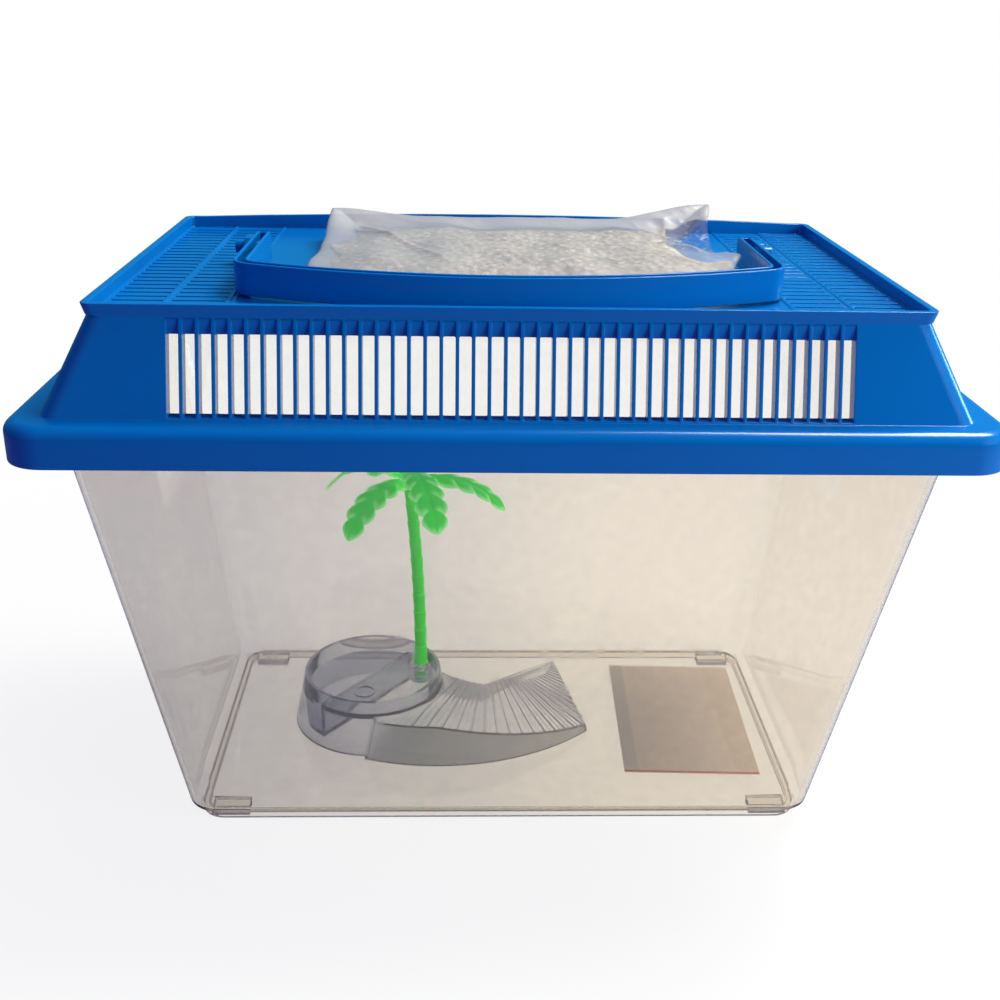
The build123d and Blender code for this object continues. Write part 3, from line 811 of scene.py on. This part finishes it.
@dataclass
class Palm:
    """The plastic palm: a scalloped trunk on a peg, and six lobed leaves round a crown.

    Places and sizes are in millimetres. notch and rib_width are shares of a leaf's half width, blunt is a share
    of its length, and relief scales the leaflets' pillows and the midrib together.
    """

    foot: tuple[float, float, float] = (-39.9, 22.1, 28.0)
    bend: float = 1000.0
    length: float = 101.0
    radius: float = 3.4
    scallop: float = 0.4
    pitch: float = 10.1
    peg: float = 7.7
    peg_radius: float = 2.6
    tip_radius: float = 2.0
    hub_radius: float = 4.6
    hub_height: float = 5.0
    leaf_width: float = 18.0
    leaf_rise: float = 5.5
    lobes: int = 5
    notch: float = 0.6
    slant: float = 5.5
    blunt: float = 0.16
    hang: float = 2.6
    leaf_half: float = 0.7
    leaf_seat: float = 0.6
    pillow: float = 0.9
    climb: float = 0.7
    relief: float = 0.7
    rib_depth: float = 0.5
    rib_width: float = 0.1
    flare: float = 0.7
    flare_run: float = 2.5
    thinning: float = 0.25
    sides: int = 33
    rings: int = 420
    leaf_points: tuple[int, int] = (111, 29)
    leaves: tuple[Leaf, ...] = (
        Leaf(-127, 46, 15, Layer.LOWER),
        Leaf(-11, 48.5, 10.5, Layer.LOWER),
        Leaf(115, 46.5, 13, Layer.LOWER),
        Leaf(-70, 45, 14, Layer.UPPER),
        Leaf(50, 46.5, 12, Layer.UPPER),
        Leaf(163, 44, 14, Layer.UPPER),
    )
    bark: SoftPolyethylene = SoftPolyethylene(
        "moulded green polyethylene trunk", "#1CB80C", "#30D41C", "#8CF07C"
    )
    frond: SoftPolyethylene = SoftPolyethylene(
        "moulded green polyethylene leaf", "#18D02C", "#3CEC38", "#9CFC8C"
    )

    def spine(self, run: np.ndarray) -> tuple[np.ndarray, np.ndarray]:
        """Follows the trunk's line: straight up to its foot, then round an arc that leans to -X.

        Args:
            run: Distances along the trunk from its foot.

        Returns:
            The points, and the arc's turn at each in radians.
        """
        turn = np.maximum(run, 0) / self.bend
        x = self.foot[0] - self.bend * (1 - np.cos(turn))
        z = self.foot[2] + self.bend * np.sin(turn) + np.minimum(run, 0)
        return np.stack([x, np.full_like(x, self.foot[1]), z], axis=-1), turn

    def trunk(self) -> bpy.types.Object:
        """Turns a profile round the spine: each segment swells by the 1.6th power of its run and steps back in.

        Returns:
            The trunk with its peg.
        """
        stem = np.linspace(0, self.length + 1, self.rings)
        swell = np.mod(stem / self.pitch, 1.0) ** 1.6
        radius = self.radius - self.scallop + self.scallop * swell + self.flare * np.exp(-stem / self.flare_run)
        radius = radius - self.thinning * stem / self.length
        neck, tip = self.length + 1.2, self.length + 9.5
        run = np.concatenate([[-self.peg, -self.peg, -0.05], stem, [neck, tip, tip]])
        foot, head = [0.0, self.peg_radius, self.peg_radius], [self.tip_radius, self.tip_radius, 0.0]
        radius = np.concatenate([foot, radius, head])
        centre, turn = self.spine(run)
        angle = np.linspace(0, 2 * np.pi, self.sides)
        out = np.stack([np.cos(turn), np.zeros_like(turn), np.sin(turn)], axis=-1)
        side = np.array([0.0, 1.0, 0.0])
        ring = np.cos(angle)[None, :, None] * out[:, None, :] + np.sin(angle)[None, :, None] * side
        grid = centre[:, None, :] + radius[:, None, None] * ring
        return grid_piece("palm_trunk_scalloped", [grid], self.bark.build())

    def leaf_grid(self, leaf: Leaf) -> tuple[list[np.ndarray], np.ndarray]:
        """Works out one leaf as an upper and a lower sheet that meet at its notched edge.

        The half width is a sine hump, notched between the leaflets. The leaflets slant towards the tip by the
        1.5th power of the distance from the midrib. The sheet arches along its length and hangs at both sides.
        Each leaflet is a pillow that climbs towards its tip side and steps down to the next.

        Args:
            leaf: The leaf's own sizes.

        Returns:
            The two grids of points, and how near each point of a grid is to a thin rim, which the finish paints
            paler as a highlight.
        """
        along = np.linspace(0, 1, self.leaf_points[0])[:, None]
        across = np.sin(np.linspace(-np.pi / 2, np.pi / 2, self.leaf_points[1]))[None, :]
        far = np.abs(across)
        start = self.hub_radius / leaf.length
        hump = np.sin(np.pi * (0.16 + 0.68 * along)) ** 0.7
        count = np.clip((along - start) / (1 - start), 0, 1) * self.lobes
        step = np.where(along < 1, np.mod(count, 1.0), 1.0)
        swell = np.abs(np.sin(np.pi * count)) ** 0.5
        tip = np.clip((along - (1 - self.blunt)) / self.blunt, 0, 1)
        width = self.leaf_width / 2 * hump * (self.notch + (1 - self.notch) * swell)
        width = width * smooth_step(along, -0.02, 0.16) * np.sqrt(np.clip(1 - tip**2, 0, 1))
        x = leaf.length * along + self.slant * far**1.5 * np.clip(3 * along * (1 - along), 0, 1)
        y = across * width
        arch = 4 * self.leaf_rise * along * (1 - along) - leaf.droop * along**2
        hang = -self.hang * far**1.6 * hump
        pillow = self.pillow * swell * np.sqrt(far * (1 - far**4)) + self.climb * step * far
        rib = -self.rib_depth * np.exp(-((across / self.rib_width) ** 2))
        thick = self.leaf_half * np.sqrt(np.clip(1 - far**2, 0, 1)) * np.clip((1 - along) / 0.02, 0, 1)
        centre, _ = self.spine(np.array([self.length + self.hub_height * leaf.layer.value]))
        turn = math.radians(leaf.turn)
        place_x = centre[0, 0] + x * math.cos(turn) - y * math.sin(turn)
        place_y = centre[0, 1] + x * math.sin(turn) + y * math.cos(turn)
        sheets = []
        for face in (1, -1):
            z = arch + hang + self.leaf_half + thick * face + self.relief * (pillow + rib)
            sheets.append(np.stack([place_x, place_y, centre[0, 2] + self.leaf_seat + z], axis=-1))
        # The rim share marks the leaf's edge and the steps between leaflets for a painted highlight
        edge = smooth_step(far, 0.72, 1.0)
        between = 0.8 * smooth_step(step, 0.7, 1.0) * smooth_step(far, 0.2, 0.6)
        return sheets, np.clip(np.maximum(edge, between), 0, 1)

    def hub_grid(self, layer: Layer) -> np.ndarray:
        """Turns a rounded collar round the trunk's tip, from its bore out to a crowned rim and back.

        Args:
            layer: The level of the leaves that it carries.

        Returns:
            The grid of points.
        """
        bore = self.tip_radius + 0.15
        radius = np.array([bore, 3.4, 4.3, self.hub_radius, self.hub_radius, 4.2, 3.2, bore, bore])
        height = np.array([0.1, 0.1, 0.5, 1.2, 3.6, 4.5, 4.9, 4.9, 0.1])
        centre, _ = self.spine(self.length + self.hub_height * layer.value + height)
        angle = np.linspace(0, 2 * np.pi, self.sides)
        ring = np.stack([np.cos(angle), np.sin(angle), np.zeros_like(angle)], axis=-1)
        return centre[:, None, :] + radius[:, None, None] * ring[None]

    def build(self) -> None:
        """Builds the palm's pieces and puts them in place of its CAD nodes."""
        trunk = self.trunk()
        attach(trunk, "palm")
        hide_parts("palm_trunk")
        LOG.info("%s: %d faces", trunk.name, len(trunk.data.polygons))
        material = self.frond.build()
        for layer in Layer:
            grids = [self.hub_grid(layer)]
            rims = [np.zeros(grids[0].shape[:2])]
            for leaf in self.leaves:
                if leaf.layer is layer:
                    sheets, rim = self.leaf_grid(leaf)
                    grids += sheets
                    rims += [rim, rim]
            node = f"palm_leaves_{layer.name.lower()}"
            whorl = grid_piece(f"{node}_lobed", grids, material, rims)
            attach(whorl, "palm")
            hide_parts(node)
            LOG.info("%s: %d faces", whorl.name, len(whorl.data.polygons))


@dataclass(frozen=True)
class Fold:
    """One straight crease in the film, from a start to an end in plan, and its height, in millimetres."""

    start: tuple[float, float]
    end: tuple[float, float]
    height: float
    reach: float = 1.8

    def lift(self, x: np.ndarray, y: np.ndarray) -> np.ndarray:
        """Falls off each way from the crease by a power of e, and fades at its two ends.

        Args:
            x: Places along X.
            y: Places along Y.

        Returns:
            How far the crease lifts the film at each place.
        """
        run = np.subtract(self.end, self.start)
        length = float(np.hypot(*run))
        dx, dy = x - self.start[0], y - self.start[1]
        along = (dx * run[0] + dy * run[1]) / length**2
        off = np.abs(dx * run[1] - dy * run[0]) / length
        ends = smooth_step(along, 0.0, 0.15) * (1 - smooth_step(along, 0.8, 1.0))
        return self.height * np.exp(-off / self.reach) * ends


@dataclass
class Bag:
    """The sealed film bag on the lid and the loose gravel inside it."""

    centre: tuple[float, float] = (7.5, 1.5)
    half: tuple[float, float] = (90.5, 62.5)
    floor: float = 242.1
    height: float = 11.0
    heap_centre: tuple[float, float] = (9.0, 0.0)
    heap_half: tuple[float, float] = (84.0, 57.0)
    heap_gap: float = 12.0
    tail_at: float = -0.25
    tail_wide: float = 0.14
    film_points: tuple[int, int] = (241, 171)
    heap_points: tuple[int, int] = (181, 161)
    folds: tuple[Fold, ...] = (
        Fold((-74, 60), (-20, -52), 1.5),
        Fold((-72, 40), (-24, -20), 1.4),
        Fold((-56, 60), (-8, 30), 0.5),
        Fold((62, 58), (80, -2), 0.8),
        Fold((78, 50), (98, 8), 1.4),
        Fold((66, 6), (101, -18), 2.2),
        Fold((60, -20), (96, -50), 1.0),
    )
    film: CrinkledFilm = CrinkledFilm("crinkled polyethylene film", "#B9B5AE")
    gravel: PaleGravel = PaleGravel("pale quartz gravel", "#F0E2CA", "#C8B898", "#8F826C")

    def tail(self, b: np.ndarray) -> np.ndarray:
        """Is a bell curve across the bag, with its top of 1 where the tail is."""
        return np.exp(-(((b - self.tail_at) / self.tail_wide) ** 2))

    def grid(self, points: tuple[int, int]) -> list[np.ndarray]:
        """Lays out a grid of own coordinates, from -1 to 1 along and across."""
        return np.meshgrid(*(np.linspace(-1, 1, count) for count in points))

    def plan(self) -> tuple[np.ndarray, ...]:
        """Lays out the film in plan: a rectangle whose right end runs out into a tail and a rear corner.

        Returns:
            Its own coordinates from -1 to 1 along and across, then x and y.
        """
        a, b = self.grid(self.film_points)
        wander = 0.7 * waves(60 * a, 60 * b, length=45, count=5, seed=3)
        end = smooth_step(a, 0.75, 1.0)
        tail = 4.5 * self.tail(b) + 4.0 * smooth_step(b, 0.5, 1.0)
        x = self.centre[0] + self.half[0] * a + wander * np.abs(a) ** 4 + end * (tail - 1.0)
        y = self.centre[1] + self.half[1] * b + wander * np.abs(b) ** 4
        return a, b, x, y

    def shape(
        self, a: np.ndarray, b: np.ndarray, x: np.ndarray, y: np.ndarray
    ) -> tuple[np.ndarray, np.ndarray]:
        """Works out the film's middle surface and half thickness.

        The half thickness is a flat-topped dome that falls to nothing at the seals. The middle rests on the lid
        and bends up to the seals, which stand high at the rear and highest at the two rear corners.

        Args:
            a: Own coordinate along the bag.
            b: Own coordinate across it.
            x: Place along X.
            y: Place along Y.

        Returns:
            The middle height and the half thickness.
        """
        half = 0.5 * self.height * dome(a, b, 0.75) * (0.94 + 0.06 * waves(x, y, length=38, count=6, seed=11))
        edge = smooth_step(np.maximum(np.abs(a) ** 1.5, np.abs(b)), 0.7, 1.0)
        rear, front = smooth_step(b, 0.3, 1.0), smooth_step(-b, 0.4, 1.0)
        left, right = smooth_step(-a, 0.5, 1.0), smooth_step(a, 0.5, 1.0)
        tail = self.tail(b) * right
        # The seal stands 5 mm over the lid, lower in front, and higher at the rear, left and tail
        rise = rear * (5.0 + 2.5 * left + 8.5 * right)
        seal = 5.0 + rise - 3.5 * front + 2.0 * left * (1 - front) + 4.0 * tail
        middle = half * (1 - edge) + seal * edge
        return np.maximum(middle, half), half

    def film_piece(self) -> bpy.types.Object:
        """Joins an upper and a lower sheet of film at the seals, with long folds and a fine crinkle.

        Returns:
            The film bag.
        """
        a, b, x, y = self.plan()
        middle, half = self.shape(a, b, x, y)
        rim = (1 - np.abs(a) ** 14) * (1 - np.abs(b) ** 14)
        empty = 0.3 + 2.2 * smooth_step(x, 68, 84)
        coarse = creases(x, y, length=34, count=4, seed=21)
        ridge = empty * (0.3 * coarse + 0.12 * creases(x, y, length=13, count=5, seed=22))
        ridge = ridge + sum(fold.lift(x, y) for fold in self.folds)
        top = self.floor + middle + half + ridge * rim
        bottom = self.floor + middle - half
        bottom = np.where(rim > 0, np.minimum(bottom, top - 0.15 * rim), top)
        grids = [np.stack([x, y, top], axis=-1), np.stack([x, y, bottom], axis=-1)]
        return grid_piece("bag_film_crinkled", grids, self.film.build())

    def gravel_piece(self) -> bpy.types.Object:
        """Fills the bag with gravel, from just over its lower film to just under its upper one.

        Returns:
            The gravel.
        """
        a, b = self.grid(self.heap_points)
        wander = 3.0 * waves(60 * a, 60 * b, length=40, count=5, seed=9)
        x = self.heap_centre[0] + self.heap_half[0] * a + wander * np.abs(a) ** 3
        x = x - self.heap_gap * smooth_step(b, -0.3, 0.2) * smooth_step(a, 0.3, 1.0)
        y = self.heap_centre[1] + self.heap_half[1] * b
        own_a, own_b = (x - self.centre[0]) / self.half[0], (y - self.centre[1]) / self.half[1]
        middle, half = self.shape(own_a.clip(-1, 1), own_b.clip(-1, 1), x, y)
        bottom = self.floor + np.maximum(0.6, middle - half + 0.5)
        room = np.maximum(self.floor + middle + half - 1.2 - bottom, 0.1)
        top = bottom + dome(a, b, 0.6) * room * (1 + 0.03 * waves(x, y, length=6.0, count=8, seed=31))
        grids = [np.stack([x, y, top], axis=-1), np.stack([x, y, bottom], axis=-1)]
        return grid_piece("bag_gravel", grids, self.gravel.build())

    def build(self) -> None:
        """Builds the film and the gravel in place of their CAD nodes."""
        film = self.film_piece()
        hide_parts("bag_film")
        gravel = self.gravel_piece()
        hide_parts("bag_filling")
        for piece in (film, gravel):
            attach(piece, "bag")
            LOG.info("%s: %d faces", piece.name, len(piece.data.polygons))


# Studio


@dataclass(frozen=True)
class Lamp:
    """One square soft lamp: its place in metres, side length, power, colour and whether gloss mirrors it."""

    name: str
    place: tuple[float, float, float]
    size: float
    power: float
    colour: str
    mirrored: bool = True


@dataclass
class Studio:
    """A plain pale floor, soft lamps, a white background and the photograph's camera."""

    focal_px: float = 1219.08
    yaw: float = 0.036857
    roll: float = 0.019312
    pitch: float = 0.390954
    eye: tuple[float, float, float] = (-20.55, -543.13, 353.11)
    frame_px: float = 1000.0
    sensor_mm: float = 36.0
    floor_size: float = 12.0
    soft: float = 0.36
    soft_colour: str = "#8090FF"
    gloss_world: float = 0.45
    gloss_colour: str = "#48C8F0"
    near_share: float = 0.84
    near: float = 0.16
    far: float = 0.6
    floor_colour: str = "#F4EFE2"
    bounce: str = "#626A94"
    aim: tuple[float, float, float] = (0.0, 0.0, 0.12)
    lamps: tuple[Lamp, ...] = (
        Lamp("key", (0.75, 0.45, 1.6), 0.8, 42.0, "#FAFDFA"),
        Lamp("window", (0.75, -0.5, 0.45), 0.5, 7.5, "#FFFAF4", mirrored=False),
        Lamp("fill", (-1.3, -1.3, 0.7), 1.4, 1.2, "#8C90FF"),
        Lamp("rim", (1.2, 0.3, 0.34), 0.3, 3.0, "#C8F4FF"),
    )

    def camera(self) -> None:
        """Points the camera as the photograph's was: turned by yaw, tipped down by pitch, then rolled."""
        cos_y, sin_y = math.cos(self.yaw), math.sin(self.yaw)
        cos_p, sin_p = math.cos(self.pitch), math.sin(self.pitch)
        ahead = np.array([sin_y * cos_p, cos_y * cos_p, -sin_p])
        right = np.array([cos_y, -sin_y, 0.0])
        up = np.cross(right, ahead)
        across = math.cos(self.roll) * right + math.sin(self.roll) * up
        upward = -math.sin(self.roll) * right + math.cos(self.roll) * up
        lens = bpy.data.cameras.new("photo camera")
        lens.sensor_width = self.sensor_mm
        lens.lens = self.focal_px / self.frame_px * self.sensor_mm
        lens.clip_start = 0.01
        camera = new_object("photo camera", lens)
        turn = np.stack([across, upward, -ahead], axis=1)
        camera.matrix_world = Matrix.Translation([c * MM for c in self.eye]) @ Matrix(turn.tolist()).to_4x4()
        bpy.context.scene.camera = camera

    def shown_white(self, tree: Tree) -> Socket:
        """Tells the rays that show a surface from the rays that light things.

        Args:
            tree: The world's or the floor's tree.

        Returns:
            1 for rays from the camera, also through a clear wall, and 0 for the rest.
        """
        path = add_node(tree, "LightPath", {})
        seen = {0: path.outputs["Is Camera Ray"], 1: path.outputs["Is Transmission Ray"]}
        return add_node(tree, "Math", seen, operation="MAXIMUM").outputs[0]

    def world(self) -> None:
        """Lights the scene softly from all round, and shows plain white behind it."""
        world = bpy.data.worlds.new("soft studio")
        world.use_nodes = True
        tree = world.node_tree
        tree.nodes.clear()
        path = add_node(tree, "LightPath", {})
        ambient = {"Color": linear(self.soft_colour), "Strength": self.soft}
        soft = add_node(tree, "Background", ambient).outputs[0]
        # A gloss mirrors a cool room, which shows most on faces that are seen at a flat angle
        cool = {"Color": linear(self.gloss_colour), "Strength": self.gloss_world}
        room = add_node(tree, "Background", cool).outputs[0]
        lighting = {0: path.outputs["Is Glossy Ray"], 1: soft, 2: room}
        lit = add_node(tree, "MixShader", lighting).outputs[0]
        white = add_node(tree, "Background", {"Color": grey(1.0), "Strength": 1.0}).outputs[0]
        shown = add_node(tree, "MixShader", {0: self.shown_white(tree), 1: lit, 2: white})
        add_node(tree, "OutputWorld", {"Surface": shown.outputs[0]})
        bpy.context.scene.world = world

    def floor(self) -> None:
        """Lays the floor: pale and matt, whiter with distance where it is seen, and darker to bounced rays."""
        half = self.floor_size / 2
        side = np.linspace(-half, half, 3)
        x, y = np.meshgrid(side, side)
        mesh = bpy.data.meshes.new("floor")
        points = np.stack([x, y, np.zeros_like(x)], axis=-1).reshape(-1, 3)
        mesh.from_pydata(points, [], grid_faces(3, 3))
        material, tree, place = new_material("pale studio floor")
        matt = add_node(tree, "BsdfDiffuse", {"Color": linear(self.floor_colour)}).outputs[0]
        dim = add_node(tree, "BsdfDiffuse", {"Color": linear(self.bounce)}).outputs[0]
        glow = add_node(tree, "Emission", {"Color": grey(1.0), "Strength": 1.0}).outputs[0]
        far = add_node(tree, "VectorMath", {0: place}, operation="LENGTH").outputs["Value"]
        fade = {"Value": far, "From Min": self.near, "From Max": self.far, "To Min": self.near_share}
        share = add_node(tree, "MapRange", fade, interpolation_type="SMOOTHSTEP").outputs["Result"]
        seen = add_node(tree, "MixShader", {0: share, 1: matt, 2: glow}).outputs[0]
        shown = add_node(tree, "MixShader", {0: self.shown_white(tree), 1: dim, 2: seen})
        add_node(tree, "OutputMaterial", {"Surface": shown.outputs[0]})
        mesh.materials.append(material)
        floor = new_object("floor", mesh)

    def lights(self) -> None:
        """Hangs square soft lamps, each aimed at the tank's middle."""
        for lamp in self.lamps:
            light = bpy.data.lights.new(lamp.name, "AREA")
            light.shape = "SQUARE"
            light.size = lamp.size
            light.energy = lamp.power
            light.color = linear(lamp.colour)[:3]
            shade = new_object(lamp.name, light)
            shade.visible_glossy = shade.visible_transmission = lamp.mirrored
            back = np.array(lamp.place) - np.array(self.aim)
            back = back / np.linalg.norm(back)
            side = np.cross([0.0, 0.0, 1.0], back)
            side = side / np.linalg.norm(side)
            turn = np.stack([side, np.cross(back, side), back], axis=1)
            shade.matrix_world = Matrix.Translation(lamp.place) @ Matrix(turn.tolist()).to_4x4()

    def build(self) -> None:
        """Sets up the camera, world, floor and lamps."""
        self.camera()
        self.world()
        self.floor()
        self.lights()
        bpy.context.scene.view_settings.view_transform = "Standard"
        LOG.info("studio: camera, world, floor and %d lamps", len(self.lamps))


def corners(box: tuple[Any, Any]) -> list[list[float]]:
    """Turns a box's two corners into plain lists."""
    return [[float(c) for c in corner] for corner in box]


def main() -> None:
    """Builds the studio and every piece in order."""
    logging.basicConfig(level=logging.INFO, format="%(name)s %(message)s")
    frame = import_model()
    Studio().build()
    Mouldings().dress(frame["nodes"])
    Palm().build()
    Bag().build()
    bpy.context.view_layer.update()


if __name__ == "__main__":
    main()
